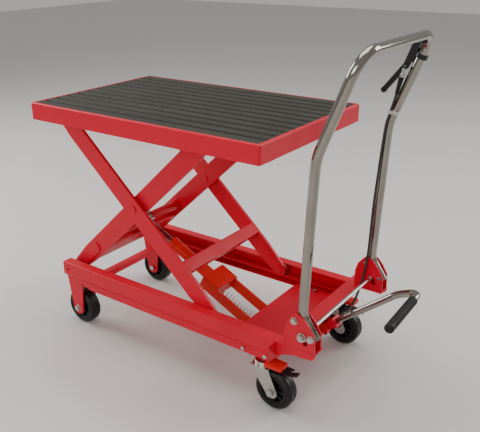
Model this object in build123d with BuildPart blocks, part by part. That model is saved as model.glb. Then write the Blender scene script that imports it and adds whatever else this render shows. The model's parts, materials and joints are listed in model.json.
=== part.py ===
from build123d import *
import os
from math import atan2, cos, degrees, hypot, radians, sin, tan

# Mobile hydraulic scissor lift table, millimetres. The origin is on the floor under the
# middle of the cart's overall box, +X points to the push handle and +Z up. Left is -Y,
# the left hand of a person standing at the handle.

os.makedirs("parts", exist_ok=True)

SIDES = ((-1, "left"), (1, "right"))
TABLE_X = -142.75  # middle of the table, ahead of the middle of the whole cart
SHEET = 3.0  # folded sheet and channel wall
PLATE = 4.0  # bracket plate

# Scissor linkage at the stored height.
PIVOT_X = TABLE_X - 322.0  # base pivots, with the table pivots straight above them
PIVOT_Z = 169.3
SPAN = 489.0  # base pivot to base roller
RISE = 450.0  # base pivot to table pivot
ARM_LENGTH = hypot(SPAN, RISE)
ARM_ANGLE = degrees(atan2(RISE, SPAN))
ROLLER_X = PIVOT_X + SPAN
TOP_Z = PIVOT_Z + RISE
CENTRE = (PIVOT_X + SPAN / 2, PIVOT_Z + RISE / 2)
ARM_WIDTH = 50.0
ARM_FOOT = 19.0  # end radius at the base
ARM_HEAD = 17.0  # end radius under the table
ARM_TAPER = 70.0  # length over which an end widens to the full width
INNER_ARM = (134.0, 142.0)  # inner and outer faces, from the middle plane
OUTER_ARM = (148.0, 156.0)
PIN = 8.0  # pivot pin radius
RUNNING = 0.06  # radial clearance of a pin in its bore

# Channels of the base and under the table, open towards the middle.
RAIL_OUT = 186.0
RAIL_FLANGE = 28.6
RAIL_HEIGHT = 39.4
RAIL_FRONT = TABLE_X - 340.6
RAIL_BACK = TABLE_X + 369.0
RAIL_TOP = PIVOT_Z + RAIL_HEIGHT / 2
RAIL_BOTTOM = PIVOT_Z - RAIL_HEIGHT / 2
ROLLER = 16.2
ROLLER_FACES = (160.5, 180.0)
STUB = 6.0  # roller stub radius
BAR_OUT = 184.6  # lower bars, welded under the rails
BAR_HEIGHT = 24.3
BAR_FLANGE = 24.6
BAR_FRONT = TABLE_X - 274.0
BAR_BACK = TABLE_X + 350.0
BAR_BOTTOM = RAIL_BOTTOM - BAR_HEIGHT
DECK_FRONT = TABLE_X + 223.0
DECK_TOP = 142.0
MEMBER_BACK = TABLE_X + 405.0  # rear edge of the rear cross member

# Table.
TABLE_LENGTH = 700.0
TABLE_WIDTH = 437.0
TABLE_TOP = 646.0
SKIRT = 43.0
RIM = 7.0  # painted border around the mat
MAT_RECESS = 4.0
RIB_COUNT = 12
GROOVE_TOP = 14.0
GROOVE_FLOOR = 9.0
GROOVE_DEPTH = 2.2

# Wheels.
WHEEL = 49.6
TREAD = 34.0
RIM_RADIUS = 34.0
AXLE = 5.0
FRONT_WHEEL = (TABLE_X - 302.0, 156.0)  # axle X, and distance from the middle plane
CASTER = (TABLE_X + 328.0, 168.0)  # swivel axis
TRAIL = 35.0
CASTER_TOP = 107.3

# Push handle.
TUBE = 11.0
TUBE_WALL = 1.6
LEG_Y = 170.0
FOLD = (TABLE_X + 460.0, 225.0)  # folding pivot
LEG_FOOT = (TABLE_X + 465.6, 216.7)
LEG_KNEE = (TABLE_X + 430.0, 269.0)
LEG_BEND = (TABLE_X + 449.5, 622.0)
GRIP_CORNER = (TABLE_X + 535.0, 832.0)
STOP_BOLT = (TABLE_X + 418.5, 257.5)
LOCK_ROD = (TABLE_X + 438.0, 222.0)
LOCK_TRAVEL = (7.5, -14.0)  # X and Z of the rod's way along its slots
CLEVIS_FACES = (155.0, 158.5, 181.5, 185.0)

# Hydraulic unit: the ram pushes the inner arms, the jack stands on the deck's hangers.
RAM_DISTANCE = 178.0  # base pivot to ram pin, along the inner arms
RAM_PIN = (
    PIVOT_X + RAM_DISTANCE * cos(radians(ARM_ANGLE)),
    PIVOT_Z + RAM_DISTANCE * sin(radians(ARM_ANGLE)),
)
JACK_FOOT = (TABLE_X + 235.0, 85.0)
JACK_LENGTH = hypot(JACK_FOOT[0] - RAM_PIN[0], JACK_FOOT[1] - RAM_PIN[1])
JACK_ANGLE = degrees(atan2(JACK_FOOT[1] - RAM_PIN[1], JACK_FOOT[0] - RAM_PIN[0]))
ROD = 10.0
BORE = 13.0
BARREL = 16.5
BARREL_START = 110.0  # distances from the ram pin
BARREL_END = 300.0
HEAD_START = 258.0
HEAD_END = 313.0
BRACE = 440.0
RAIL_SPREAD = (36.0, 42.0)

# Foot pedal and pump.
PEDAL_Y = -8.0
PEDAL_PIVOT = (TABLE_X + 405.0, 152.0)
PEDAL_ANGLE = 39.2
PEDAL_STRAIGHT = 221.0  # pivot to the shaft's gentle bend
PEDAL_CORNER = (TABLE_X + 624.0, 310.2)  # where the shaft turns to the grip
GRIP_START = 36.0  # corner to grip
GRIP_LENGTH = 130.0
GRIP_DIRECTION = Vector(0.016, -0.999, -0.04).normalized()
HEEL = 18.0  # pedal pivot down to the line of the pump piston


def slab(side, inner, outer, at=(0.0, 0.0), angle=0.0):
    """Sketch plane of a plate parallel to the cart's side. Its x rises by `angle` from +X
    and its y is square to that; extruding by outer - inner fills |Y| from inner to outer."""
    turn = radians(angle)
    y = outer if side > 0 else -inner
    return Plane(origin=(at[0], y, at[1]), x_dir=(cos(turn), 0, sin(turn)), z_dir=(0, -1, 0))


def outline(*points):
    """Closed face through the points, in the current sketch."""
    with BuildLine() as edges:
        Polyline(*points, close=True)
    make_face(edges.edges())


def save(piece, label):
    """Name a finished piece and write it to its own file."""
    piece.part.label = label
    export_step(piece.part, f"parts/{label}.step")


def channel(side, start, length, outer, flange, middle, height, corner):
    """Channel along the cart, open towards the middle plane, added to the current part."""
    with BuildSketch(Plane.YZ.offset(start)) as profile:
        with Locations((side * (outer - flange / 2), middle)):
            Rectangle(flange, height)
        fillet(profile.vertices().group_by(Axis.X)[-1 if side > 0 else 0], corner)
        with Locations((side * (outer - SHEET - flange / 2), middle)):
            Rectangle(flange, height - 2 * SHEET, mode=Mode.SUBTRACT)
    extrude(profile.sketch, amount=length)


def drill(side, inner, outer, at, radius):
    """Round hole along Y through the current part."""
    with BuildSketch(slab(side, inner, outer, at)) as hole:
        Circle(radius)
    extrude(hole.sketch, amount=outer - inner, mode=Mode.SUBTRACT)


def rod(side, inner, outer, at, radius):
    """Round bar along Y, added to the current part."""
    with BuildSketch(slab(side, inner, outer, at)) as section:
        Circle(radius)
    extrude(section.sketch, amount=outer - inner)


def hex_head(side, inner, outer, at, flats):
    """Hexagonal head or nut along Y, added to the current part."""
    with BuildSketch(slab(side, inner, outer, at)) as hexagon:
        RegularPolygon(flats / 2, 6, major_radius=False)
    extrude(hexagon.sketch, amount=outer - inner)


# ---------------------------------------------------------------------------- base frame
for side, hand in SIDES:
    with BuildPart() as base_rail:
        channel(side, RAIL_FRONT, RAIL_BACK - RAIL_FRONT, RAIL_OUT, RAIL_FLANGE,
                PIVOT_Z, RAIL_HEIGHT, SHEET)
        with BuildSketch(Plane.YZ.offset(RAIL_FRONT)):
            with Locations((side * (RAIL_OUT - SHEET - RAIL_FLANGE / 2), PIVOT_Z)):
                Rectangle(RAIL_FLANGE - 2 * SHEET, RAIL_HEIGHT - SHEET)
        extrude(amount=SHEET)
        drill(side, RAIL_OUT - SHEET, RAIL_OUT, (PIVOT_X, PIVOT_Z), 4.0)
    save(base_rail, f"base_rail_{hand}")

with BuildPart() as lower_bars:
    for side, _ in SIDES:
        channel(side, BAR_FRONT, BAR_BACK - BAR_FRONT, BAR_OUT, BAR_FLANGE,
                RAIL_BOTTOM - BAR_HEIGHT / 2, BAR_HEIGHT, SHEET)
        with BuildSketch(slab(side, BAR_OUT - BAR_FLANGE, BAR_OUT, (BAR_FRONT, BAR_BOTTOM))):
            outline((0, 16), (34, 0), (0, 0))
        extrude(amount=BAR_FLANGE, mode=Mode.SUBTRACT)
        for bolt_x in (281.0, 343.0):
            drill(side, BAR_OUT - SHEET, BAR_OUT, (TABLE_X + bolt_x, 137.0), 3.0 + RUNNING)
save(lower_bars, "lower_bars")

CROSS_BAR_X = TABLE_X - 261.5
with BuildPart() as front_cross_bar:
    with BuildSketch(slab(1, -(BAR_OUT - SHEET), BAR_OUT - SHEET, (CROSS_BAR_X, 137.4))) as tube:
        Rectangle(23, 17.8)
        fillet(tube.vertices(), 2.5)
        offset(amount=-2.0, mode=Mode.SUBTRACT)
    extrude(amount=2 * (BAR_OUT - SHEET))
save(front_cross_bar, "front_cross_bar")

HANGER = (46.0, 50.0)
with BuildPart() as deck_plate:
    with BuildSketch(Plane.XY.offset(DECK_TOP - SHEET)):
        with Locations(((DECK_FRONT + RAIL_BACK) / 2, 0)):
            Rectangle(RAIL_BACK - DECK_FRONT, 2 * (BAR_OUT - SHEET))
    extrude(amount=SHEET)
    with BuildSketch(Plane.XY.offset(DECK_TOP - 14)):
        with Locations((DECK_FRONT + SHEET / 2, 0)):
            Rectangle(SHEET, 2 * (BAR_OUT - BAR_FLANGE) - 4)
    extrude(amount=12)
    for side, _ in SIDES:
        with BuildSketch(slab(side, *HANGER, JACK_FOOT)) as hanger:
            outline((-9, 54), (44, 54), (14, -12), (-9, -12))
            Circle(14)
        extrude(amount=HANGER[1] - HANGER[0])
save(deck_plate, "deck_plate")

WING_OUT = 216.0
with BuildPart() as rear_cross_member:
    with BuildSketch(Plane.YZ.offset(RAIL_BACK)) as web:
        with Locations((0, (RAIL_TOP + 146) / 2)):
            Rectangle(2 * WING_OUT, RAIL_TOP - 146)
        fillet(web.vertices(), 5)
        with Locations((0, 145)):
            Rectangle(2 * (BAR_OUT - SHEET), 12)
    extrude(amount=SHEET)
    with BuildSketch(slab(1, -150, 150)) as angle:
        outline(
            (RAIL_BACK, RAIL_TOP), (MEMBER_BACK, RAIL_TOP), (MEMBER_BACK, RAIL_TOP - 13),
            (MEMBER_BACK - SHEET, RAIL_TOP - 13), (MEMBER_BACK - SHEET, RAIL_TOP - SHEET),
            (RAIL_BACK, RAIL_TOP - SHEET),
        )
    extrude(amount=300)
save(rear_cross_member, "rear_cross_member")

BRACKET_FRONT = RAIL_BACK + SHEET
BRACKET_BACK = TABLE_X + 471.0
for side, hand in SIDES:
    with BuildPart() as handle_bracket:
        # Side plate, arched over the swivel caster.
        with BuildSketch(slab(side, RAIL_OUT - SHEET, RAIL_OUT)):
            with BuildLine():
                Polyline(
                    (BRACKET_FRONT + 4, 153), (BRACKET_FRONT, 152), (BRACKET_FRONT, RAIL_TOP),
                    (BRACKET_BACK, RAIL_TOP), (BRACKET_BACK, 181), (BRACKET_BACK - 8, 172),
                    (BRACKET_FRONT + 52, 170),
                )
                ThreePointArc((BRACKET_FRONT + 52, 170), (BRACKET_FRONT + 25, 164),
                              (BRACKET_FRONT + 4, 153))
            make_face()
        extrude(amount=SHEET)
        # Top flange that carries the clevis.
        with BuildSketch(Plane.XY.offset(RAIL_TOP - SHEET)):
            with Locations(((BRACKET_FRONT + BRACKET_BACK) / 2, side * (150 + RAIL_OUT) / 2)):
                Rectangle(BRACKET_BACK - BRACKET_FRONT, RAIL_OUT - 150)
        extrude(amount=SHEET)
        # Clevis cheeks with the bolt holes and the slot of the lock rod.
        for inner, outer in (CLEVIS_FACES[:2], CLEVIS_FACES[2:]):
            with BuildSketch(slab(side, inner, outer)) as cheek:
                outline(
                    (TABLE_X + 393, RAIL_TOP), (TABLE_X + 393, 231), (TABLE_X + 400.5, 253.5),
                    (TABLE_X + 420.5, 277), (TABLE_X + 442.4, 266.7), (TABLE_X + 455.4, 252.3),
                    (TABLE_X + 469.5, 227.5), (TABLE_X + 470.5, RAIL_TOP),
                )
                fillet(cheek.vertices().group_by(Axis.Y)[1:], 7)
            extrude(amount=outer - inner)
            drill(side, inner, outer, STOP_BOLT, 4.0 + RUNNING)
            drill(side, inner, outer, FOLD, AXLE + RUNNING)
            slot_middle = (LOCK_ROD[0] + LOCK_TRAVEL[0] / 2, LOCK_ROD[1] + LOCK_TRAVEL[1] / 2)
            slot_angle = degrees(atan2(LOCK_TRAVEL[1], LOCK_TRAVEL[0]))
            with BuildSketch(slab(side, inner, outer, slot_middle, slot_angle)):
                SlotCenterToCenter(hypot(*LOCK_TRAVEL), 2 * (AXLE + 0.4))
            extrude(amount=outer - inner, mode=Mode.SUBTRACT)
        with BuildSketch(slab(side, CLEVIS_FACES[1], CLEVIS_FACES[2])):
            outline((TABLE_X + 393, RAIL_TOP), (TABLE_X + 396.5, RAIL_TOP),
                    (TABLE_X + 396.5, 232), (TABLE_X + 393, 231))
        extrude(amount=CLEVIS_FACES[2] - CLEVIS_FACES[1])
    save(handle_bracket, f"handle_bracket_{hand}")

# ---------------------------------------------------------------------- fixed front wheels
FORK_INNER = (131.0, 135.0)
FORK_OUTER = (177.0, 181.0)
for side, hand in SIDES:
    with BuildPart() as front_fork:
        with BuildSketch(Plane.XY.offset(RAIL_BOTTOM - SHEET)):
            with Locations((FRONT_WHEEL[0] - 2.5, side * (FORK_INNER[0] + FORK_OUTER[1]) / 2)):
                Rectangle(59, FORK_OUTER[1] - FORK_INNER[0])
        extrude(amount=SHEET)
        for inner, outer in (FORK_INNER, FORK_OUTER):
            with BuildSketch(slab(side, inner, outer, (FRONT_WHEEL[0], WHEEL))):
                outline((-32, 98), (27, 98), (19, 0), (-19, 3))
                Circle(19)
            extrude(amount=PLATE)
            drill(side, inner, outer, (FRONT_WHEEL[0], WHEEL), AXLE + RUNNING)
    save(front_fork, f"front_fork_{hand}")


def tyre(x, y):
    """Rubber tyre with rounded shoulders and a shallow centre groove."""
    with BuildPart() as piece:
        with BuildSketch(Plane.YZ.offset(x)) as profile:
            with Locations((y, WHEEL + (WHEEL + RIM_RADIUS) / 2)):
                Rectangle(TREAD, WHEEL - RIM_RADIUS)
            fillet(profile.vertices().group_by(Axis.Y)[-1], 8)
            with Locations((y, 2 * WHEEL)):
                Circle(1.2, mode=Mode.SUBTRACT)
            with Locations((y - TREAD / 2, WHEEL + 38), (y + TREAD / 2, WHEEL + 38)):
                Circle(1.4, mode=Mode.SUBTRACT)
        revolve(axis=Axis((x, y, WHEEL), (0, 1, 0)))
    return piece


def hub(x, y):
    """Moulded wheel centre: rim band, web, boss and radial ribs on both faces."""
    with BuildPart() as piece:
        with BuildSketch(slab(1, y - 15, y + 15, (x, WHEEL))):
            Circle(RIM_RADIUS)
            Circle(RIM_RADIUS - 4, mode=Mode.SUBTRACT)
        extrude(amount=30)
        with BuildSketch(slab(1, y - 4, y + 4, (x, WHEEL))):
            Circle(RIM_RADIUS - 3)
        extrude(amount=8)
        with BuildSketch(slab(1, y - 19, y + 19, (x, WHEEL))):
            Circle(11)
        extrude(amount=38)
        with BuildSketch(slab(1, y - 12, y + 12, (x, WHEEL))):
            with PolarLocations(20, 8):
                Rectangle(22, 3)
        extrude(amount=24)
        drill(1, y - 19, y + 19, (x, WHEEL), AXLE + RUNNING)
    return piece


for side, hand in SIDES:
    save(tyre(FRONT_WHEEL[0], side * FRONT_WHEEL[1]), f"front_tyre_{hand}")
    save(hub(FRONT_WHEEL[0], side * FRONT_WHEEL[1]), f"front_hub_{hand}")

# -------------------------------------------------------------------- rear swivel casters
CASTER_WHEEL_X = CASTER[0] + TRAIL
LEG_FACES = (21.0, 23.5)
BRAKE_PIN = (CASTER[0] + 23.0, 92.0)
with BuildPart() as caster_pads:
    for side, _ in SIDES:
        with BuildSketch(Plane.XY.offset(CASTER_TOP + 10)) as pad:
            with Locations((TABLE_X + 318, side * 153.5)):
                Rectangle(70, 41)
            with Locations((TABLE_X + 368, side * 179)):
                Rectangle(46, 33)
            fillet(pad.vertices(), 3)
            with Locations((CASTER[0], side * CASTER[1])):
                Circle(6 + RUNNING, mode=Mode.SUBTRACT)
        extrude(amount=BAR_BOTTOM - CASTER_TOP - 10)
save(caster_pads, "caster_pads")

for side, hand in SIDES:
    caster_y = side * CASTER[1]
    with BuildPart() as caster_fork:
        with BuildSketch(Plane.XY.offset(CASTER_TOP - SHEET)):
            with Locations((CASTER[0], caster_y)):
                Circle(26)
            with Locations((CASTER[0] + 2, caster_y)):
                Rectangle(48, 2 * LEG_FACES[1])
        extrude(amount=SHEET)
        with BuildSketch(Plane.XY.offset(CASTER_TOP)):
            with Locations((CASTER[0], caster_y)):
                Circle(22)
        extrude(amount=9.6)
        fillet(caster_fork.faces().sort_by(Axis.Z)[-1].edges(), 3)
        for inner, outer in ((LEG_FACES[0], LEG_FACES[1]), (-LEG_FACES[1], -LEG_FACES[0])):
            with BuildSketch(slab(1, caster_y + inner, caster_y + outer, (CASTER_WHEEL_X, WHEEL))):
                outline((-59, CASTER_TOP - WHEEL), (-9, CASTER_TOP - WHEEL), (15, 5), (-11, -11))
                Circle(15.5)
            extrude(amount=outer - inner)
        with BuildSketch(Plane.XY.offset(99)):
            with Locations((CASTER[0], caster_y)):
                RegularPolygon(8, 6, major_radius=False)
        extrude(amount=6)
        with BuildSketch(Plane.XY.offset(104)):
            with Locations((CASTER[0], caster_y)):
                Circle(6)
        extrude(amount=20)
        for inner, outer in ((17.2, LEG_FACES[1] + 1), (-LEG_FACES[1] - 1, -17.2)):
            rod(1, caster_y + inner, caster_y + outer, BRAKE_PIN, 3)
        rod(1, caster_y - 33, caster_y + 33, (CASTER_WHEEL_X, WHEEL), AXLE)
        for inner, outer in ((23.5, 25), (-25, -23.5)):
            rod(1, caster_y + inner, caster_y + outer, (CASTER_WHEEL_X, WHEEL), 12)
        for inner, outer in ((25, 31), (-31, -25)):
            hex_head(1, caster_y + inner, caster_y + outer, (CASTER_WHEEL_X, WHEEL), 17)
    save(caster_fork, f"caster_fork_{hand}")

    save(tyre(CASTER_WHEEL_X, caster_y), f"caster_tyre_{hand}")
    save(hub(CASTER_WHEEL_X, caster_y), f"caster_hub_{hand}")

    # Brake pedal: two arms on pins between the fork's legs, a plate over the tread and a toe tab.
    with BuildPart() as brake_pedal:
        for inner, outer in ((17.8, 20.4), (-20.4, -17.8)):
            with BuildSketch(slab(1, caster_y + inner, caster_y + outer, BRAKE_PIN)):
                outline((0, 6), (29, 12), (50, 10.5), (49, 6), (29, 7), (0, -6))
                Circle(6)
            extrude(amount=outer - inner)
        with BuildSketch(slab(1, caster_y - 20.4, caster_y + 20.4, BRAKE_PIN)):
            outline((29, 9), (29, 12), (47, 10.7), (46.5, 7.6))
        extrude(amount=40.8)
        with BuildSketch(slab(1, caster_y - 8, caster_y + 8, BRAKE_PIN)):
            outline((44, 8), (44, 11), (50, 10.5), (70, 17), (71, 14), (49, 7.4))
        extrude(amount=16)
        drill(1, caster_y - 21, caster_y + 21, BRAKE_PIN, 3 + RUNNING)
    save(brake_pedal, f"brake_pedal_{hand}")


# ---------------------------------------------------------------------------- scissor arms
def arm_plate(side, faces, foot, angle):
    """Arm from its lower-numbered end at `foot`, widening from a round end to full width."""
    start, end = (ARM_FOOT, ARM_HEAD) if angle > 0 else (ARM_HEAD, ARM_FOOT)
    half = ARM_WIDTH / 2
    with BuildSketch(slab(side, *faces, foot, angle)) as shape:
        outline(
            (0, start), (ARM_TAPER, half), (ARM_LENGTH - ARM_TAPER, half), (ARM_LENGTH, end),
            (ARM_LENGTH, -end), (ARM_LENGTH - ARM_TAPER, -half), (ARM_TAPER, -half), (0, -start),
        )
        Circle(start)
        with Locations((ARM_LENGTH, 0)):
            Circle(end)
    extrude(shape.sketch, amount=faces[1] - faces[0])


BEAM_MIDDLE = ARM_LENGTH - 133.0  # along the outer arms, from the table pivot
BASE_PIVOT = (PIVOT_X, PIVOT_Z)
TABLE_PIVOT = (PIVOT_X, TOP_Z)
BASE_ROLLER = (ROLLER_X, PIVOT_Z)
TABLE_ROLLER = (ROLLER_X, TOP_Z)

for side, hand in SIDES:
    with BuildPart() as inner_arm:
        arm_plate(side, INNER_ARM, BASE_PIVOT, ARM_ANGLE)
        # Doubler around the base pivot.
        with BuildSketch(slab(side, INNER_ARM[1], INNER_ARM[1] + 4, BASE_PIVOT, ARM_ANGLE)):
            with Locations((52, 0)):
                SlotCenterToCenter(104, 30)
        extrude(amount=4)
        drill(side, INNER_ARM[0], INNER_ARM[1] + 4, BASE_PIVOT, PIN + RUNNING)
        drill(side, *INNER_ARM, CENTRE, PIN)
        drill(side, *INNER_ARM, TABLE_ROLLER, STUB)
    save(inner_arm, f"inner_arm_{hand}")

    with BuildPart() as outer_arm:
        arm_plate(side, OUTER_ARM, TABLE_PIVOT, -ARM_ANGLE)
        drill(side, *OUTER_ARM, CENTRE, PIN + RUNNING)
        drill(side, *OUTER_ARM, BASE_ROLLER, STUB)
        drill(side, *OUTER_ARM, TABLE_PIVOT, PIN + RUNNING)
    save(outer_arm, f"outer_arm_{hand}")

with BuildPart() as inner_cross_plate:
    with BuildSketch(slab(1, -INNER_ARM[0], INNER_ARM[0], BASE_PIVOT, ARM_ANGLE)) as folded:
        outline((66, -24), (152, -24), (152, -4), (148, -4), (148, -20), (70, -20), (70, 2), (66, 2))
        fillet(folded.vertices().sort_by(Axis.Y)[:2], 3)
    extrude(amount=2 * INNER_ARM[0])
save(inner_cross_plate, "inner_cross_plate")

CROSS_TUBE = 14.0
with BuildPart() as ram_cross_tube:
    rod(1, -INNER_ARM[0], INNER_ARM[0], RAM_PIN, CROSS_TUBE)
save(ram_cross_tube, "ram_cross_tube")

with BuildPart() as inner_arm_pins:
    for side, _ in SIDES:
        rod(side, INNER_ARM[0], OUTER_ARM[1], CENTRE, PIN)
        rod(side, INNER_ARM[1], OUTER_ARM[0] - 0.4, CENTRE, 13)
        rod(side, OUTER_ARM[1], OUTER_ARM[1] + 0.6, CENTRE, PIN)
        rod(side, OUTER_ARM[1] + 0.4, OUTER_ARM[1] + 2.4, CENTRE, 10)
        rod(side, INNER_ARM[0] - 2, INNER_ARM[0], CENTRE, 10)
        rod(side, INNER_ARM[0], ROLLER_FACES[1] + 1.5, TABLE_ROLLER, STUB)
        rod(side, INNER_ARM[0] - 2.5, INNER_ARM[0], TABLE_ROLLER, 9)
save(inner_arm_pins, "inner_arm_pins")

with BuildPart() as outer_arm_pins:
    for side, _ in SIDES:
        rod(side, OUTER_ARM[0], ROLLER_FACES[1] + 1.5, BASE_ROLLER, STUB)
        rod(side, OUTER_ARM[0] - 2.5, OUTER_ARM[0], BASE_ROLLER, 9)
save(outer_arm_pins, "outer_arm_pins")

with BuildPart() as outer_cross_beam:
    with BuildSketch(
        slab(1, -OUTER_ARM[0], OUTER_ARM[0], TABLE_PIVOT, -ARM_ANGLE)
    ) as section:
        with Locations((BEAM_MIDDLE, 10)):
            Rectangle(34, 30)
        fillet(section.vertices(), 3)
        offset(amount=-2.5, mode=Mode.SUBTRACT)
    extrude(amount=2 * OUTER_ARM[0])
save(outer_cross_beam, "outer_cross_beam")

# Base pivots stand on the rails' webs; an access hole in each web faces the hollow pin.
with BuildPart() as base_pivot_pins:
    for side, _ in SIDES:
        rod(side, INNER_ARM[0], RAIL_OUT - SHEET, BASE_PIVOT, PIN)
        rod(side, INNER_ARM[0] - 3, INNER_ARM[0] - 0.4, BASE_PIVOT, 11)
        rod(side, INNER_ARM[0] - 0.4, INNER_ARM[0], BASE_PIVOT, PIN)
        drill(side, RAIL_OUT - SHEET - 14, RAIL_OUT - SHEET, BASE_PIVOT, 4.0)
save(base_pivot_pins, "base_pivot_pins")

for spot, place in ((BASE_ROLLER, "base"), (TABLE_ROLLER, "table")):
    for side, hand in SIDES:
        with BuildPart() as roller:
            rod(side, *ROLLER_FACES, spot, ROLLER)
            chamfer(roller.edges().filter_by(GeomType.CIRCLE), 1.2)
            drill(side, *ROLLER_FACES, spot, STUB + RUNNING)
        save(roller, f"{place}_roller_{hand}")

# ----------------------------------------------------------------------------------- table
with BuildPart() as table_tray:
    with BuildSketch(Plane.XY.offset(TABLE_TOP - SKIRT)) as plan:
        with Locations((TABLE_X, 0)):
            Rectangle(TABLE_LENGTH, TABLE_WIDTH)
        fillet(plan.vertices(), 5)
    extrude(amount=SKIRT)
    fillet(table_tray.faces().sort_by(Axis.Z)[-1].edges(), 4)
    with BuildSketch(Plane.XY.offset(TABLE_TOP - SKIRT)):
        with Locations((TABLE_X, 0)):
            Rectangle(TABLE_LENGTH - 2 * SHEET, TABLE_WIDTH - 2 * SHEET)
    extrude(amount=SKIRT - MAT_RECESS - SHEET, mode=Mode.SUBTRACT)
    with BuildSketch(Plane.XY.offset(TABLE_TOP - MAT_RECESS)) as recess:
        with Locations((TABLE_X, 0)):
            Rectangle(TABLE_LENGTH - 2 * RIM, TABLE_WIDTH - 2 * RIM)
        fillet(recess.vertices(), 4)
    extrude(amount=MAT_RECESS, mode=Mode.SUBTRACT)
save(table_tray, "table_tray")

MAT_LENGTH = TABLE_LENGTH - 2 * RIM - 1
MAT_WIDTH = TABLE_WIDTH - 2 * RIM - 1
MAT_TOP = TABLE_TOP - 0.2
RIB_PITCH = MAT_WIDTH / RIB_COUNT
with BuildPart() as rubber_mat:
    with BuildSketch(Plane.YZ.offset(TABLE_X - MAT_LENGTH / 2)):
        with Locations((0, (MAT_TOP + TABLE_TOP - MAT_RECESS) / 2)):
            Rectangle(MAT_WIDTH, MAT_TOP - TABLE_TOP + MAT_RECESS)
    extrude(amount=MAT_LENGTH)
    fillet(rubber_mat.edges().filter_by(Axis.Z), 4)
    with BuildSketch(Plane.YZ.offset(TABLE_X - MAT_LENGTH / 2)):
        for n in range(1, RIB_COUNT):
            middle = (n - RIB_COUNT / 2) * RIB_PITCH
            outline(
                (middle - GROOVE_TOP / 2, MAT_TOP),
                (middle - GROOVE_FLOOR / 2, MAT_TOP - GROOVE_DEPTH),
                (middle + GROOVE_FLOOR / 2, MAT_TOP - GROOVE_DEPTH),
                (middle + GROOVE_TOP / 2, MAT_TOP),
            )
    extrude(amount=MAT_LENGTH, mode=Mode.SUBTRACT)
save(rubber_mat, "rubber_mat")

with BuildPart() as table_channels:
    for side, _ in SIDES:
        channel(side, TABLE_X - 345, 690, RAIL_OUT, RAIL_FLANGE, TOP_Z, RAIL_HEIGHT, SHEET)
        rod(side, OUTER_ARM[0] - 2.4, RAIL_OUT - SHEET, TABLE_PIVOT, PIN)
save(table_channels, "table_channels")


# -------------------------------------------------------------------------- hydraulic unit
def jack_axis(distance, y=0.0, rise=0.0):
    """Plane square to the jack's axis, `distance` from the ram pin and facing the foot."""
    turn = radians(JACK_ANGLE)
    along = Vector(cos(turn), 0, sin(turn))
    up = Vector(-sin(turn), 0, cos(turn))
    origin = Vector(RAM_PIN[0], y, RAM_PIN[1]) + along * distance + up * rise
    return Plane(origin=origin, x_dir=(0, 1, 0), z_dir=along)


with BuildPart() as ram:
    with BuildSketch(slab(1, -17, 17, RAM_PIN, JACK_ANGLE)):
        Circle(20)
    extrude(amount=34)
    with BuildSketch(jack_axis(15)):
        Circle(ROD)
    extrude(amount=170)
    with BuildSketch(jack_axis(184)):
        Circle(BORE - 0.08)
    extrude(amount=12)
    drill(1, -17, 17, RAM_PIN, CROSS_TUBE + RUNNING)
save(ram, "ram")

with BuildPart() as cylinder_barrel:
    with BuildSketch(jack_axis(BARREL_START)):
        Circle(BARREL)
    extrude(amount=BARREL_END - BARREL_START)
    with BuildSketch(jack_axis(BARREL_START)):
        Circle(ROD + RUNNING)
    extrude(amount=12, mode=Mode.SUBTRACT)
    with BuildSketch(jack_axis(BARREL_START + 12)):
        Circle(BORE)
    extrude(amount=BARREL_END - BARREL_START - 27, mode=Mode.SUBTRACT)
    with BuildSketch(jack_axis(BARREL_START)):
        Circle(BARREL + 1.5)
        Circle(BARREL, mode=Mode.SUBTRACT)
    extrude(amount=14)
save(cylinder_barrel, "cylinder_barrel")

with BuildPart() as jack_frame:
    for side, _ in SIDES:
        with BuildSketch(slab(side, *RAIL_SPREAD, RAM_PIN, JACK_ANGLE)):
            outline((HEAD_START, -17), (HEAD_START, 17), (HEAD_END, 17), (HEAD_END + 8, 12),
                    (JACK_LENGTH, 12), (JACK_LENGTH, -17))
            with Locations((JACK_LENGTH, -2.5)):
                Circle(14.5)
        extrude(amount=RAIL_SPREAD[1] - RAIL_SPREAD[0])
    # Head block around the end of the barrel.
    with BuildSketch(slab(1, -RAIL_SPREAD[0], RAIL_SPREAD[0], RAM_PIN, JACK_ANGLE)):
        outline((283, -17), (283, 17), (HEAD_END, 17), (HEAD_END, -17))
    extrude(amount=2 * RAIL_SPREAD[0])
    with BuildSketch(jack_axis(283)):
        Circle(BARREL)
    extrude(amount=BARREL_END - 283, mode=Mode.SUBTRACT)
    # Top plate with its tongue along the left half.
    with BuildSketch(slab(1, -RAIL_SPREAD[1], 2, RAM_PIN, JACK_ANGLE)):
        outline((222, 17), (222, 20), (HEAD_START, 20), (HEAD_START, 17))
    extrude(amount=RAIL_SPREAD[1] + 2)
    with BuildSketch(slab(1, -RAIL_SPREAD[1], RAIL_SPREAD[1], RAM_PIN, JACK_ANGLE)):
        outline((HEAD_START, 17), (HEAD_START, 20), (HEAD_END, 20), (HEAD_END, 17))
    extrude(amount=2 * RAIL_SPREAD[1])
    # Brace across the open window, at the foot end.
    with BuildSketch(slab(1, -RAIL_SPREAD[0], RAIL_SPREAD[0], RAM_PIN, JACK_ANGLE)):
        outline((BRACE, -17), (BRACE - 9, 18), (BRACE - 4, 18), (BRACE + 5, -17))
    extrude(amount=2 * RAIL_SPREAD[0])
    rod(1, -45.4, 45.4, JACK_FOOT, 8)
save(jack_frame, "jack_frame")

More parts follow.
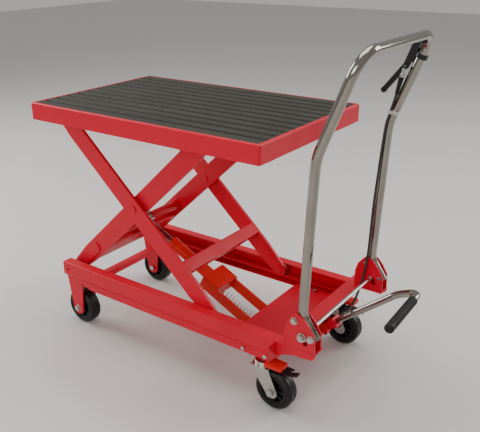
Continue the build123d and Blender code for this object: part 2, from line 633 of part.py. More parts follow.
SPRING_Y = -24.0
SPRING = 8.5
SPRING_WIRE = 1.0
SPRING_START = HEAD_END + 2.5
SPRING_LENGTH = BRACE - 12.0 - SPRING_START
with BuildPart() as return_spring:
    spring_plane = jack_axis(SPRING_START, SPRING_Y, 8.5)
    with BuildLine() as coil:
        Helix(pitch=SPRING_LENGTH / 11, height=SPRING_LENGTH, radius=SPRING,
              center=spring_plane.origin, direction=spring_plane.z_dir)
    with BuildSketch(Plane(origin=coil.line @ 0, z_dir=coil.line % 0)):
        Circle(SPRING_WIRE)
    sweep(path=coil.line, is_frenet=True)
save(return_spring, "return_spring")

# Pump block under the rear cross member, with the pedal's lugs and a blind piston bore.
PISTON_Z = PEDAL_PIVOT[1] - HEEL
BLOCK_BACK = TABLE_X + 393.0
with BuildPart() as pump_block:
    with BuildSketch(Plane.XY.offset(119)) as foot_print:
        with Locations(((BRACKET_FRONT + BLOCK_BACK) / 2, PEDAL_Y)):
            Rectangle(BLOCK_BACK - BRACKET_FRONT, 56)
    extrude(amount=RAIL_TOP - SHEET - 119)
    for side, _ in SIDES:
        inner, outer = sorted((PEDAL_Y + side * 15.5, PEDAL_Y + side * 19.5))
        with BuildSketch(slab(1, inner, outer, PEDAL_PIVOT)):
            outline((-14, 12), (0, 12), (0, -12), (-14, -16))
            Circle(12)
        extrude(amount=4)
    rod(1, PEDAL_Y - 19.5, PEDAL_Y + 19.5, PEDAL_PIVOT, 4)
    with BuildSketch(Plane.YZ.offset(BLOCK_BACK)):
        with Locations((PEDAL_Y, PISTON_Z)):
            Circle(6 + RUNNING)
    extrude(amount=-19, mode=Mode.SUBTRACT)
save(pump_block, "pump_block")

VALVE = (TABLE_X + 412.0, 150.0)
VALVE_FACE = 92.0
with BuildPart() as release_valve:
    with BuildSketch(slab(1, 22, 34)) as arm:
        outline((TABLE_X + 380, 140), (TABLE_X + 380, 160), (VALVE[0], 160), (VALVE[0], 140))
    extrude(amount=12)
    with BuildSketch(slab(1, PEDAL_Y + 28, 34)):
        outline((TABLE_X + 376, 138), (TABLE_X + 376, 162), (TABLE_X + 392, 162),
                (TABLE_X + 392, 138))
    extrude(amount=34 - PEDAL_Y - 28)
    rod(1, 22, 66, VALVE, 10)
    hex_head(1, 66, 76, VALVE, 17)
    rod(1, 76, VALVE_FACE - 0.8, VALVE, 5.5)
save(release_valve, "release_valve")

with BuildPart() as pump_piston:
    with BuildSketch(Plane.YZ.offset(BLOCK_BACK + 6.4)):
        with Locations((PEDAL_Y, PISTON_Z)):
            Circle(6)
    extrude(amount=-14)
save(pump_piston, "pump_piston")


def pedal_point(distance):
    """Point on the pedal's axis."""
    turn = radians(PEDAL_ANGLE)
    return Vector(
        PEDAL_PIVOT[0] + distance * cos(turn), PEDAL_Y, PEDAL_PIVOT[1] + distance * sin(turn)
    )


with BuildPart() as pedal_socket:
    with BuildSketch(slab(1, PEDAL_Y - 14.8, PEDAL_Y + 14.8, PEDAL_PIVOT, PEDAL_ANGLE)) as body:
        outline((0, 8.5), (36, 11.5), (36, -11.5), (0, -8.5))
        Circle(8.5)
    extrude(amount=29.6)
    with BuildSketch(slab(1, PEDAL_Y - 9, PEDAL_Y + 9, PEDAL_PIVOT)):
        outline((-3.5, 0), (3.5, 0), (3.5, -HEEL), (-3.5, -HEEL))
        with Locations((0, -HEEL)):
            Circle(5)
    extrude(amount=18)
    with BuildSketch(Plane(origin=pedal_point(36), z_dir=pedal_point(0) - pedal_point(36))):
        Circle(7)
    extrude(amount=24, mode=Mode.SUBTRACT)
    drill(1, PEDAL_Y - 14.8, PEDAL_Y + 14.8, PEDAL_PIVOT, 4 + RUNNING)
save(pedal_socket, "pedal_socket")

PEDAL_TUBE = 8.5
with BuildPart() as pedal_shaft:
    with BuildSketch(Plane(origin=pedal_point(12), z_dir=pedal_point(36) - pedal_point(12))):
        Circle(7)
    extrude(amount=72)
    corner = Vector(PEDAL_CORNER[0], PEDAL_Y, PEDAL_CORNER[1])
    with BuildLine() as bend:
        FilletPolyline(pedal_point(82), pedal_point(PEDAL_STRAIGHT), corner,
                       corner + GRIP_DIRECTION * GRIP_START, radius=[90, 22])
    with BuildSketch(Plane(origin=bend.line @ 0, z_dir=bend.line % 0)):
        Circle(PEDAL_TUBE)
    sweep(path=bend.line)
save(pedal_shaft, "pedal_shaft")

with BuildPart() as pedal_grip:
    with BuildSketch(Plane(origin=corner + GRIP_DIRECTION * GRIP_START, z_dir=GRIP_DIRECTION)):
        Circle(10.5)
    extrude(amount=GRIP_LENGTH)
    fillet(pedal_grip.edges().filter_by(GeomType.CIRCLE), 3)
save(pedal_grip, "pedal_grip")

# -------------------------------------------------------------------------------- handle
leg = (LEG_FOOT, LEG_KNEE, LEG_BEND, GRIP_CORNER)
handle_points = [(x, -LEG_Y, z) for x, z in leg] + [(x, LEG_Y, z) for x, z in reversed(leg)]
CORNER_RADIUS = 50.0
with BuildPart() as handle_tube:
    with BuildLine() as handle_route:
        FilletPolyline(
            *handle_points, radius=[38, 150, CORNER_RADIUS, CORNER_RADIUS, 150, 38]
        )
    with BuildSketch(Plane(origin=handle_route.line @ 0, z_dir=handle_route.line % 0)):
        Circle(TUBE)
        Circle(TUBE - TUBE_WALL, mode=Mode.SUBTRACT)
    sweep(path=handle_route.line)
    drill(1, -LEG_Y - 12, LEG_Y + 12, FOLD, AXLE + RUNNING)
save(handle_tube, "handle_tube")

LEG_TOP_ANGLE = degrees(
    atan2(GRIP_CORNER[1] - LEG_BEND[1], GRIP_CORNER[0] - LEG_BEND[0])
)
LEG_TOP_LENGTH = hypot(GRIP_CORNER[0] - LEG_BEND[0], GRIP_CORNER[1] - LEG_BEND[1])


def leg_point(distance, across):
    """X and Z of a point by the upper leg: distance above the bend, and across towards +X."""
    turn = radians(LEG_TOP_ANGLE)
    return (
        LEG_BEND[0] + distance * cos(turn) + across * sin(turn),
        LEG_BEND[1] + distance * sin(turn) - across * cos(turn),
    )


LEVER_PIVOT = leg_point(172, -21.5)
LEVER_FACES = (166.0, 174.0)
CHEEKS = ((162.2, 165.6), (174.4, 177.8))
leg_direction = Vector(cos(radians(LEG_TOP_ANGLE)), 0, sin(radians(LEG_TOP_ANGLE)))
boot_start = Vector(TABLE_X + 467.0, 158.0, 694.2)
boot_direction = Vector(6, 0, 26).normalized()
BOOT_LENGTH = 40.0
adjuster_start = boot_start + boot_direction * BOOT_LENGTH


def leg_plane(distance):
    """Plane square to the right-hand upper leg, centred on it and facing the crossbar."""
    x, z = leg_point(distance, 0)
    return Plane(origin=(x, LEG_Y, z), z_dir=leg_direction)


with BuildPart() as lever_bracket:
    with BuildSketch(leg_plane(166)):
        Circle(TUBE + 2.5)
        Circle(TUBE, mode=Mode.SUBTRACT)
    extrude(amount=10)
    with BuildSketch(slab(1, CHEEKS[0][0], CHEEKS[1][1])):
        outline(leg_point(184, -13), leg_point(183, -29), leg_point(202, -25), leg_point(202, -13))
    extrude(amount=CHEEKS[1][1] - CHEEKS[0][0])
    for inner, outer in CHEEKS:
        with BuildSketch(slab(1, inner, outer)):
            outline(leg_point(147, -14), leg_point(146, -28), leg_point(183, -29),
                    leg_point(186, -13), leg_point(176, -10.4), leg_point(166, -10.4))
        extrude(amount=outer - inner)
    rod(1, CHEEKS[0][0], CHEEKS[1][1], LEVER_PIVOT, 3.5)
    # Strap and ear that hold the cable's adjuster.
    with BuildSketch(slab(1, *CHEEKS[0])):
        outline(leg_point(134, -14), leg_point(134, -26), leg_point(147, -28), leg_point(147, -14))
    extrude(amount=CHEEKS[0][1] - CHEEKS[0][0])
    with BuildSketch(slab(1, 151.5, CHEEKS[0][0])):
        outline(leg_point(134, -14), leg_point(134, -26), leg_point(138, -26), leg_point(138, -14))
    extrude(amount=CHEEKS[0][0] - 151.5)
    with BuildSketch(Plane(origin=adjuster_start, z_dir=boot_direction)):
        Circle(3.5)
    extrude(amount=30, mode=Mode.SUBTRACT)
save(lever_bracket, "lever_bracket")

with BuildPart() as release_lever:
    with BuildSketch(slab(1, *LEVER_FACES)) as blade:
        outline(leg_point(172, -14.5), leg_point(142, -15), leg_point(66, -39),
                leg_point(62, -52), leg_point(140, -29), leg_point(172, -28.5))
        with Locations(LEVER_PIVOT):
            Circle(7)
        with Locations(leg_point(64, -45.5)):
            Circle(6.8)
    extrude(amount=LEVER_FACES[1] - LEVER_FACES[0])
    drill(1, *LEVER_FACES, LEVER_PIVOT, 3.5 + RUNNING)
save(release_lever, "release_lever")

# ------------------------------------------------------------------------- release cable
CABLE = 3.0
cable_points = [
    (TABLE_X + 467.0, 158.0, 694.0),
    (TABLE_X + 461.0, 157.1, 668.0),
    (TABLE_X + 453.0, 156.0, 641.0),
    (TABLE_X + 446.5, 155.0, 602.0),
    (TABLE_X + 442.0, 154.5, 552.0),
    (TABLE_X + 438.5, 153.0, 497.0),
    (TABLE_X + 434.5, 151.5, 440.0),
    (TABLE_X + 432.0, 150.3, 383.0),
    (TABLE_X + 430.5, 149.5, 330.0),
    (TABLE_X + 428.5, 149.0, 285.0),
    (TABLE_X + 424.0, 149.0, 246.0),
    (TABLE_X + 418.5, 146.5, 211.0),
    (TABLE_X + 413.5, 136.0, 178.0),
    (VALVE[0], 119.0, 155.0),
    (VALVE[0], VALVE_FACE, VALVE[1]),
]


def bend_radii(points):
    """Largest comfortable radius at each inner point of a route."""
    spots = [Vector(*p) for p in points]
    radii = []
    for before, here, after in zip(spots, spots[1:], spots[2:]):
        turn = radians((here - before).get_angle(after - here))
        shorter = min((here - before).length, (after - here).length)
        radii.append(0.45 * shorter / tan(turn / 2))
    return radii


cable_radii = bend_radii(cable_points)
print("release cable radii", [round(r) for r in cable_radii])
with BuildPart() as release_cable:
    with BuildLine() as cable_route:
        FilletPolyline(*cable_points, radius=cable_radii)
    with BuildSketch(Plane(origin=cable_route.line @ 0, z_dir=cable_route.line % 0)):
        Circle(CABLE)
    sweep(path=cable_route.line)
cable_length = cable_route.wire().length
print("release cable length", round(cable_length, 1), "volume ratio",
      round(release_cable.part.volume / (cable_length * 3.14159265 * CABLE**2), 4))
save(release_cable, "release_cable")

with BuildPart() as cable_boot:
    with BuildSketch(Plane(origin=boot_start, z_dir=boot_direction)):
        Circle(4.0)
    with BuildSketch(Plane(origin=adjuster_start, z_dir=boot_direction)):
        Circle(6.0)
    loft()
    fillet(cable_boot.edges().group_by(Axis.Z)[-1], 1.5)
save(cable_boot, "cable_boot")

# Adjuster at the bracket's ear, and the clip that holds the cable on the leg.
CLIP = 27.0
clip_direction = (Vector(*cable_points[1]) - Vector(*cable_points[2])).normalized()
clip_middle = Vector(*cable_points[2]) + clip_direction * 11
with BuildPart() as cable_fittings:
    with BuildSketch(leg_plane(CLIP)):
        Circle(TUBE + 1.6)
    extrude(amount=9)
    with BuildSketch(Plane(origin=clip_middle - clip_direction * 4.5, z_dir=clip_direction)):
        Circle(CABLE + 1.8)
    extrude(amount=9)
    with BuildSketch(leg_plane(CLIP - 12)):
        Circle(TUBE)
    extrude(amount=40, mode=Mode.SUBTRACT)
    with BuildSketch(Plane(origin=clip_middle - clip_direction * 9, z_dir=clip_direction)):
        Circle(CABLE + 0.45)
    extrude(amount=18, mode=Mode.SUBTRACT)
    with BuildSketch(Plane(origin=adjuster_start, z_dir=boot_direction)):
        RegularPolygon(5.5, 6, major_radius=False)
    extrude(amount=7)
    with BuildSketch(Plane(origin=adjuster_start + boot_direction * 7, z_dir=boot_direction)):
        Circle(3.5)
    extrude(amount=19)
save(cable_fittings, "cable_fittings")

# ------------------------------------------------------------------- lock rod and fasteners
with BuildPart() as lock_rod:
    rod(1, -150, 150, LOCK_ROD, 4)
    for side, _ in SIDES:
        rod(side, 149, 196, LOCK_ROD, AXLE)
        rod(side, 185.4, 187, LOCK_ROD, 11)
        hex_head(side, 187, 193, LOCK_ROD, 15)
save(lock_rod, "lock_rod")

with BuildPart() as handle_bolts:
    for side, _ in SIDES:
        for spot, radius in ((STOP_BOLT, 4), (FOLD, AXLE)):
            rod(side, CLEVIS_FACES[0] - 1.5, CLEVIS_FACES[3] + 9, spot, radius)
            rod(side, CLEVIS_FACES[3], CLEVIS_FACES[3] + 1.2, spot, 8.4)
            hex_head(side, CLEVIS_FACES[3] + 1.2, CLEVIS_FACES[3] + 6.4, spot, 13)
save(handle_bolts, "handle_bolts")

with BuildPart() as frame_bolts:
    for side, _ in SIDES:
        for bolt_x in (281.0, 343.0):
            rod(side, BAR_OUT - SHEET, BAR_OUT + 3, (TABLE_X + bolt_x, 137.0), 3)
            hex_head(side, BAR_OUT, BAR_OUT + 4, (TABLE_X + bolt_x, 137.0), 10)
        with BuildSketch(Plane.XY.offset(DECK_TOP)):
            with Locations((TABLE_X + 287.0, side * 137.5)):
                RegularPolygon(6.5, 6, major_radius=False)
        extrude(amount=5.5)
    for side, _ in SIDES:
        spot = (FRONT_WHEEL[0], WHEEL)
        rod(side, FORK_INNER[0] - 5, FORK_OUTER[1] + 9, spot, AXLE)
        rod(side, FORK_OUTER[1], FORK_OUTER[1] + 1.2, spot, 10)
        hex_head(side, FORK_OUTER[1] + 1.2, FORK_OUTER[1] + 6.5, spot, 15)
        hex_head(side, FORK_INNER[0] - 7, FORK_INNER[0], spot, 15)
save(frame_bolts, "frame_bolts")
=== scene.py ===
import json
from math import cos, pi, radians, sin

import bmesh
import bpy
from mathutils import Matrix, Vector


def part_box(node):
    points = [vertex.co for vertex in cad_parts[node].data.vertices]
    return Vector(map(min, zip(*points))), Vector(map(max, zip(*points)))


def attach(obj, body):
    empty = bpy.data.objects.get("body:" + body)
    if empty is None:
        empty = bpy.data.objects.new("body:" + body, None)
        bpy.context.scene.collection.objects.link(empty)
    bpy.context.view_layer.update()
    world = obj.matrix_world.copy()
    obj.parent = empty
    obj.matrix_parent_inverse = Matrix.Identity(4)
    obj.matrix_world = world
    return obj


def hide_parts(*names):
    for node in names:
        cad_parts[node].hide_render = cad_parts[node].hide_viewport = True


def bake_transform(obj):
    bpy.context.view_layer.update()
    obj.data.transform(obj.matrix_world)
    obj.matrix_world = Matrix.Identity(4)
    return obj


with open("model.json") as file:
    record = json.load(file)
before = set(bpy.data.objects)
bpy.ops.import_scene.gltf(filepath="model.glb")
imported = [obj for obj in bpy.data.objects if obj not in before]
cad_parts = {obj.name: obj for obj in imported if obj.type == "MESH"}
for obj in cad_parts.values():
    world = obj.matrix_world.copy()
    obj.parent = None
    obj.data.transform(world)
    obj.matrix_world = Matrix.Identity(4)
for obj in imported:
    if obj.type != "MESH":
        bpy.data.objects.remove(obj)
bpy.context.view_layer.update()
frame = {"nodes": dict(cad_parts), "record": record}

NODES = frame["nodes"]
SUBPARTS = frame["record"]["subparts"]
MM = 0.001
TABLE_X = -0.14275  # middle of the table along X


# ------------------------------------------------------------------------------ materials
class Shader:
    """A node material built up by short calls, in object coordinates."""

    def __init__(self, name):
        self.material = bpy.data.materials.new(name)
        self.material.use_nodes = True
        tree = self.material.node_tree
        self.nodes, self.links = tree.nodes, tree.links
        self.nodes.clear()
        self.out = self.nodes.new("ShaderNodeOutputMaterial")
        self.bsdf = self.nodes.new("ShaderNodeBsdfPrincipled")
        self.links.new(self.bsdf.outputs[0], self.out.inputs["Surface"])
        self.place = self.nodes.new("ShaderNodeTexCoord").outputs["Object"]
        self.heights = []

    def set(self, **values):
        for name, value in values.items():
            self.bsdf.inputs[name.replace("_", " ")].default_value = value

    def link(self, source, name):
        self.links.new(source, self.bsdf.inputs[name])

    def noise(self, scale, detail=3.0, roughness=0.55, stretch=(1, 1, 1)):
        mapping = self.nodes.new("ShaderNodeMapping")
        mapping.inputs["Scale"].default_value = stretch
        self.links.new(self.place, mapping.inputs["Vector"])
        node = self.nodes.new("ShaderNodeTexNoise")
        node.inputs["Scale"].default_value = scale
        node.inputs["Detail"].default_value = detail
        node.inputs["Roughness"].default_value = roughness
        self.links.new(mapping.outputs[0], node.inputs["Vector"])
        return node.outputs[0]

    def fit(self, value, low, high, to_low, to_high):
        node = self.nodes.new("ShaderNodeMapRange")
        node.clamp = True
        for socket, number in zip(node.inputs[1:5], (low, high, to_low, to_high)):
            socket.default_value = number
        self.links.new(value, node.inputs[0])
        return node.outputs[0]

    def mix(self, factor, first, second):
        node = self.nodes.new("ShaderNodeMix")
        node.data_type = "RGBA"
        self.links.new(factor, node.inputs[0])
        for socket, colour in ((node.inputs[6], first), (node.inputs[7], second)):
            if isinstance(colour, bpy.types.NodeSocket):
                self.links.new(colour, socket)
            else:
                socket.default_value = (*colour, 1)
        return node.outputs[2]

    def maths(self, operation, first, second):
        node = self.nodes.new("ShaderNodeMath")
        node.operation = operation
        node.use_clamp = True
        for socket, value in zip(node.inputs, (first, second)):
            if isinstance(value, bpy.types.NodeSocket):
                self.links.new(value, socket)
            else:
                socket.default_value = value
        return node.outputs[0]

    def coordinate(self, axis):
        node = self.nodes.new("ShaderNodeSeparateXYZ")
        self.links.new(self.place, node.inputs[0])
        return node.outputs[axis]

    def edges(self, radius):
        """0 on open faces, up to 1 along edges, and the softened normal."""
        bevel = self.nodes.new("ShaderNodeBevel")
        bevel.samples = 6
        bevel.inputs["Radius"].default_value = radius
        geometry = self.nodes.new("ShaderNodeNewGeometry")
        dot = self.nodes.new("ShaderNodeVectorMath")
        dot.operation = "DOT_PRODUCT"
        self.links.new(bevel.outputs[0], dot.inputs[0])
        self.links.new(geometry.outputs["Normal"], dot.inputs[1])
        return self.fit(dot.outputs["Value"], 0.98, 0.80, 0.0, 1.0), bevel.outputs[0]

    def bump(self, height, strength, distance, normal=None):
        node = self.nodes.new("ShaderNodeBump")
        node.inputs["Strength"].default_value = strength
        node.inputs["Distance"].default_value = distance
        self.links.new(height, node.inputs["Height"])
        if normal is not None:
            self.links.new(normal, node.inputs["Normal"])
        return node.outputs[0]


def shade(colour, factor):
    return tuple(min(1.0, c * factor) for c in colour)


def powder_coat(name, colour, roughness=0.34, wear=0.3):
    """Glossy coat over steel: orange peel, faint mottling, and lighter scuffs along edges."""
    s = Shader(name)
    edge, rounded = s.edges(1.1 * MM)
    mottled = s.mix(s.fit(s.noise(9, 4), 0.3, 0.7, 0, 1), shade(colour, 0.95), shade(colour, 1.04))
    scuffs = s.maths("MULTIPLY", edge, s.fit(s.noise(130, 5, 0.7), 0.5, 0.68, 0, wear))
    dust = s.fit(s.noise(28, 5, 0.65), 0.58, 0.85, 0, 0.03)
    worn = s.mix(scuffs, mottled, shade(colour, 1.3))
    s.link(s.mix(dust, worn, (0.32, 0.2, 0.17)), "Base Color")
    s.link(s.fit(s.noise(22, 4, 0.6), 0.3, 0.72, roughness - 0.05, roughness + 0.12), "Roughness")
    s.link(s.bump(s.noise(620, 2), 0.16, 0.25 * MM, rounded), "Normal")
    s.set(Coat_Weight=0.06, Coat_Roughness=0.2, Specular_IOR_Level=0.26)
    return s.material


def plated(name, colour, roughness, grain, streak=(1, 1, 1), polish=0.0):
    """Plated metal: fine grain, cloudy roughness and dulled patches."""
    s = Shader(name)
    _, rounded = s.edges(0.7 * MM)
    cloud = s.noise(34, 5, 0.62, streak)
    s.link(s.mix(s.fit(cloud, 0.3, 0.75, 0, 1), shade(colour, 1.06), shade(colour, 0.8)),
           "Base Color")
    s.link(s.fit(s.noise(55, 5, 0.6, streak), 0.3, 0.75, roughness, roughness + grain),
           "Roughness")
    s.link(s.bump(s.noise(900, 2, 0.5, streak), 0.05 + grain * 0.3, 0.12 * MM, rounded), "Normal")
    s.set(Metallic=1.0, Coat_Weight=polish, Coat_Roughness=0.04)
    return s.material


def ribbed_rubber(name):
    """Mat rubber: rib tops painted lighter grey with random tone as a painted highlight, and groove
    floors painted near-black as painted shade, set by height.
    """
    s = Shader(name)
    low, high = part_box("rubber_mat")
    # painted highlight on the rib tops and painted shade on the groove floors, blended by height
    rib_top_light_mask = s.fit(s.coordinate(2), high.z - 1.9 * MM, high.z - 0.25 * MM, 0, 1)
    lit_rib_top_colour = s.mix(s.fit(s.noise(16, 5, 0.6, (0.35, 1, 1)), 0.32, 0.72, 0, 1),
                 (0.024, 0.022, 0.016), (0.040, 0.036, 0.027))
    s.link(s.mix(rib_top_light_mask, (0.004, 0.004, 0.0035), lit_rib_top_colour), "Base Color")
    s.link(s.fit(s.noise(70, 5, 0.65), 0.3, 0.7, 0.5, 0.68), "Roughness")
    s.link(s.bump(s.noise(700, 3, 0.6), 0.3, 0.25 * MM), "Normal")
    s.set(Specular_IOR_Level=0.26)
    return s.material


def rubber(name, colour, roughness, scale=420):
    """Moulded rubber or plastic: fine texture, dust in patches, rubbed edges."""
    s = Shader(name)
    edge, rounded = s.edges(0.8 * MM)
    base = s.mix(s.fit(s.noise(30, 5, 0.65), 0.45, 0.78, 0, 1), colour, shade(colour, 2.1))
    s.link(s.mix(s.maths("MULTIPLY", edge, 0.35), base, shade(colour, 3.5)), "Base Color")
    s.link(s.fit(s.noise(60, 4), 0.3, 0.7, roughness - 0.06, roughness + 0.12), "Roughness")
    s.link(s.bump(s.noise(scale, 3, 0.6), 0.22, 0.2 * MM, rounded), "Normal")
    s.set(Specular_IOR_Level=0.32)
    return s.material


def cable_sheath(name):
    """Extruded PVC sheath with a faint long grain."""
    s = Shader(name)
    s.link(s.mix(s.fit(s.noise(45, 4), 0.35, 0.7, 0, 1), (0.010, 0.010, 0.011),
                 (0.020, 0.019, 0.019)), "Base Color")
    s.link(s.fit(s.noise(80, 4, 0.6, (1, 1, 0.2)), 0.3, 0.7, 0.3, 0.46), "Roughness")
    s.link(s.bump(s.noise(500, 3, 0.6, (1, 1, 0.1)), 0.2, 0.15 * MM), "Normal")
    return s.material


RED = (0.64, 0.001, 0.024)
ORANGE_RED = (0.66, 0.010, 0.006)
LOOKS = {
    "red_paint": powder_coat("red_powder_coat", RED),
    "orange_red_paint": powder_coat("orange_red_powder_coat", ORANGE_RED, 0.34),
    "zinc": plated("zinc_plate", (0.56, 0.55, 0.52), 0.24, 0.16),
    "chrome": plated("chrome_plate", (0.32, 0.295, 0.26), 0.06, 0.06, (1, 1, 0.4), 0.15),
    "black_rubber": rubber("black_moulded_rubber", (0.005, 0.005, 0.0045), 0.5),
    "tyre_rubber": rubber("tyre_black", (0.006, 0.006, 0.0055), 0.36),
    "black_plastic": rubber("black_plastic", (0.011, 0.011, 0.012), 0.34, 640),
    "black_paint": rubber("black_painted_steel", (0.013, 0.013, 0.014), 0.3, 560),
}
MAT_LOOK = ribbed_rubber("ribbed_mat_rubber")
CABLE_LOOK = cable_sheath("cable_sheath_black")

for row in SUBPARTS:
    piece = NODES[row["node"]]
    look = MAT_LOOK if row["node"] == "rubber_mat" else LOOKS[row["material_slot"]]
    for holder in piece.material_slots:
        holder.material = look


# ---------------------------------------------------------------------------- mesh helpers
def finish_piece(name, mesh, look, smooth=True):
    mesh.materials.clear()
    mesh.materials.append(look)
    for face in mesh.polygons:
        face.use_smooth = smooth
    piece = bpy.data.objects.new(name, mesh)
    bpy.context.scene.collection.objects.link(piece)
    return piece


def frame_along(direction):
    """Two unit vectors square to a direction."""
    direction = direction.normalized()
    first = direction.orthogonal().normalized()
    return first, direction.cross(first).normalized()


def lathe(name, start, direction, profile, look, sides=48):
    """Closed solid turned about an axis. The profile gives (distance along, radius) pairs."""
    mesh = bmesh.new()
    direction = direction.normalized()
    across, up = frame_along(direction)
    rings = []
    for along, radius in profile:
        middle = start + direction * along
        rings.append([
            mesh.verts.new(middle + (across * cos(2 * pi * n / sides)
                                     + up * sin(2 * pi * n / sides)) * radius)
            for n in range(sides)
        ])
    for ring, after in zip(rings, rings[1:]):
        for n in range(sides):
            m = (n + 1) % sides
            mesh.faces.new((ring[n], ring[m], after[m], after[n]))
    mesh.faces.new(list(reversed(rings[0])))
    mesh.faces.new(rings[-1])
    bmesh.ops.recalc_face_normals(mesh, faces=mesh.faces)
    data = bpy.data.meshes.new(name)
    mesh.to_mesh(data)
    mesh.free()
    return finish_piece(name, data, look)


def weld(name, start, end, body, radius=1.7 * MM, pitch=2.6 * MM, flat=0.55, out=(0, 0, 1)):
    """Weld bead between two points: a low, rippled ridge, half sunk in the corner."""
    start, end, out = Vector(start), Vector(end), Vector(out).normalized()
    direction = (end - start).normalized()
    side = direction.cross(out).normalized()
    length = (end - start).length
    steps, sides = max(6, int(length / pitch * 4)), 10
    mesh = bmesh.new()
    rings = []
    for k in range(steps + 1):
        t = k / steps
        ripple = 1 + 0.13 * cos(2 * pi * t * length / pitch)
        close = min(1.0, (min(t, 1 - t) * length / (1.5 * radius) + 0.15)) ** 0.5
        r = radius * ripple * close
        middle = start + direction * (length * t)
        rings.append([
            mesh.verts.new(middle + side * (r * cos(2 * pi * n / sides))
                           + out * (r * flat * sin(2 * pi * n / sides)))
            for n in range(sides)
        ])
    for ring, after in zip(rings, rings[1:]):
        for n in range(sides):
            m = (n + 1) % sides
            mesh.faces.new((ring[n], ring[m], after[m], after[n]))
    mesh.faces.new(list(reversed(rings[0])))
    mesh.faces.new(rings[-1])
    bmesh.ops.recalc_face_normals(mesh, faces=mesh.faces)
    data = bpy.data.meshes.new(name)
    mesh.to_mesh(data)
    mesh.free()
    bead = finish_piece(name, data, LOOKS["red_paint"])
    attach(bead, body)


# ------------------------------------------------------------------------------ pedal grip
PEDAL_CORNER = Vector((TABLE_X + 0.624, -0.008, 0.3102))  # where the shaft turns
GRIP_DIRECTION = Vector((0.016, -0.999, -0.04)).normalized()
GRIP_LENGTH = 0.130
grip_start = PEDAL_CORNER + GRIP_DIRECTION * 0.036
grip_profile = [(0.0, 0.0085), (0.0004, 0.0096), (0.0016, 0.0104), (0.006, 0.0105)]
RIB_PITCH = 0.0046
ribs = int((GRIP_LENGTH - 0.018) / RIB_PITCH)
for n in range(ribs):
    at = 0.0075 + n * RIB_PITCH
    grip_profile += [(at, 0.0097), (at + 0.0011, 0.0097), (at + 0.0017, 0.0104),
                     (at + 0.0036, 0.0104)]
grip_profile += [(GRIP_LENGTH - 0.006, 0.0105), (GRIP_LENGTH - 0.0022, 0.0101),
                 (GRIP_LENGTH - 0.0006, 0.0086), (GRIP_LENGTH, 0.0062)]
grip = lathe("ribbed_pedal_grip", grip_start, GRIP_DIRECTION, grip_profile,
             LOOKS["black_rubber"])
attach(grip, "pedal")
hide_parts("pedal_grip")

# --------------------------------------------------------------------------- release cable
VALVE_X = TABLE_X + 0.412
CABLE_RADIUS = 0.003
cable_points = [
    (TABLE_X + 0.467, 0.158, 0.694),
    (TABLE_X + 0.461, 0.1571, 0.668),
    (TABLE_X + 0.453, 0.156, 0.641),
    (TABLE_X + 0.4465, 0.155, 0.602),
    (TABLE_X + 0.442, 0.1545, 0.552),
    (TABLE_X + 0.4385, 0.153, 0.497),
    (TABLE_X + 0.4345, 0.1515, 0.440),
    (TABLE_X + 0.432, 0.1503, 0.383),
    (TABLE_X + 0.4305, 0.1495, 0.330),
    (TABLE_X + 0.4285, 0.149, 0.285),
    (TABLE_X + 0.424, 0.149, 0.246),
    (TABLE_X + 0.4185, 0.1465, 0.211),
    (TABLE_X + 0.4135, 0.136, 0.178),
    (VALVE_X, 0.119, 0.155),
    (VALVE_X, 0.092, 0.150),
]
route = bpy.data.curves.new("release_cable_route", "CURVE")
route.dimensions = "3D"
spline = route.splines.new("NURBS")
spline.points.add(len(cable_points) - 1)
for point, place in zip(spline.points, cable_points):
    point.co = (*place, 1)
spline.order_u = 3
spline.use_endpoint_u = True
route.resolution_u = 14
route.bevel_depth = CABLE_RADIUS
route.bevel_resolution = 6
route.use_fill_caps = True
holder = bpy.data.objects.new("release_cable_route", route)
bpy.context.scene.collection.objects.link(holder)
bpy.context.view_layer.update()
cable_mesh = bpy.data.meshes.new_from_object(
    holder.evaluated_get(bpy.context.evaluated_depsgraph_get())
)
bpy.data.objects.remove(holder)
cable = finish_piece("release_cable_sheath", cable_mesh, CABLE_LOOK)
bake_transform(cable)
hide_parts("release_cable")

# ----------------------------------------------------------------------------- weld beads
PLATE_OUTSIDE, PLATE_INSIDE = 0.185, 0.155  # faces of the handle brackets' plates, off the middle
CLEVIS_START, CLEVIS_END = 0.398, 0.466  # along X from the table's middle, as RAIL_END is
FLANGE_TOP = 0.189
FORK_FACE = 0.1812
WELD_INSET = 0.004
RAIL_END, RAIL_FACE = 0.3688, 0.1862
RAIL_WELD_LOW, RAIL_WELD_HIGH = 0.154, 0.184
for side, hand in ((-1, "left"), (1, "right")):
    for label, y, out in (("outer", side * PLATE_OUTSIDE, side), ("inner", side * PLATE_INSIDE, -side)):
        weld(f"clevis_weld_{label}_{hand}", (TABLE_X + CLEVIS_START, y, FLANGE_TOP),
             (TABLE_X + CLEVIS_END, y, FLANGE_TOP), "base", out=(0, out, 1))
    fork_low, fork_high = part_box(f"front_fork_{hand}")
    weld(f"fork_weld_{hand}", (fork_low.x + WELD_INSET, side * FORK_FACE, fork_high.z),
         (fork_high.x - WELD_INSET, side * FORK_FACE, fork_high.z), "base", out=(0, side, -1))
    weld(f"rail_end_weld_{hand}", (TABLE_X + RAIL_END, side * RAIL_FACE, RAIL_WELD_LOW),
         (TABLE_X + RAIL_END, side * RAIL_FACE, RAIL_WELD_HIGH), "base", out=(-1, side, 0))

# ----------------------------------------------------------------- floor, lights and camera
FLOOR_HALF_WIDTH = 9.0
CAMERA_PLACE = (0.91387, -1.25714, 1.01313)
floor_mesh = bpy.data.meshes.new("studio_floor")
floor_bm = bmesh.new()
bmesh.ops.create_grid(floor_bm, x_segments=2, y_segments=2, size=FLOOR_HALF_WIDTH)
floor_bm.to_mesh(floor_mesh)
floor_bm.free()
floor = bpy.data.objects.new("studio_floor", floor_mesh)
bpy.context.scene.collection.objects.link(floor)
floor_shader = Shader("studio_floor")
floor_shader.set(Base_Color=(0.62, 0.605, 0.585, 1), Roughness=0.55)
floor_mesh.materials.append(floor_shader.material)

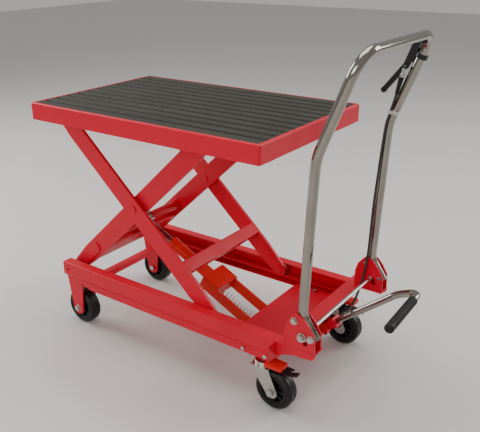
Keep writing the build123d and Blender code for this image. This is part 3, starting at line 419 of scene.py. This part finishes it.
world = bpy.data.worlds.new("studio")
bpy.context.scene.world = world
world.use_nodes = True
world.node_tree.nodes["Background"].inputs["Color"].default_value = (0.80, 0.79, 0.77, 1)
world.node_tree.nodes["Background"].inputs["Strength"].default_value = 0.55


def area_light(name, place, target, size, watts, colour=(1, 1, 1)):
    data = bpy.data.lights.new(name, "AREA")
    data.shape = "RECTANGLE"
    data.size, data.size_y = size
    data.energy = watts
    data.color = colour
    light = bpy.data.objects.new(name, data)
    light.location = place
    light.rotation_mode = "QUATERNION"
    light.rotation_quaternion = (Vector(target) - Vector(place)).to_track_quat("-Z", "Y")
    bpy.context.scene.collection.objects.link(light)


MIDDLE = (0, 0, 0.4)
area_light("overhead", (-0.2, 0.3, 3.2), MIDDLE, (2.4, 2.4), 62, (1, 0.99, 0.97))
area_light("window_left", (-3.0, -0.4, 1.9), MIDDLE, (1.2, 1.8), 60)
area_light("window_right", (2.2, 2.6, 1.9), MIDDLE, (1.3, 1.9), 55)
area_light("camera_fill", (0.6, -3.0, 1.6), MIDDLE, (2.0, 1.4), 34, (1, 0.98, 0.96))

YAW, PITCH, ROLL = radians(36.04), radians(22.32), radians(-0.687)
FOCAL_PIXELS, IMAGE_WIDTH = 666.18, 480
SENSOR_WIDTH = 36.0
right = Vector((cos(YAW), sin(YAW), 0))
forward = Vector((-sin(YAW) * cos(PITCH), cos(YAW) * cos(PITCH), -sin(PITCH)))
up = right.cross(forward)
rolled_right = right * cos(ROLL) + up * sin(ROLL)
rolled_up = up * cos(ROLL) - right * sin(ROLL)
camera_data = bpy.data.cameras.new("camera")
camera_data.sensor_fit = "HORIZONTAL"
camera_data.sensor_width = SENSOR_WIDTH
camera_data.lens = camera_data.sensor_width * FOCAL_PIXELS / IMAGE_WIDTH
camera = bpy.data.objects.new("camera", camera_data)
bpy.context.scene.collection.objects.link(camera)
axes = Matrix((rolled_right, rolled_up, -forward)).transposed().to_4x4()
camera.matrix_world = Matrix.Translation(CAMERA_PLACE) @ axes
bpy.context.scene.camera = camera
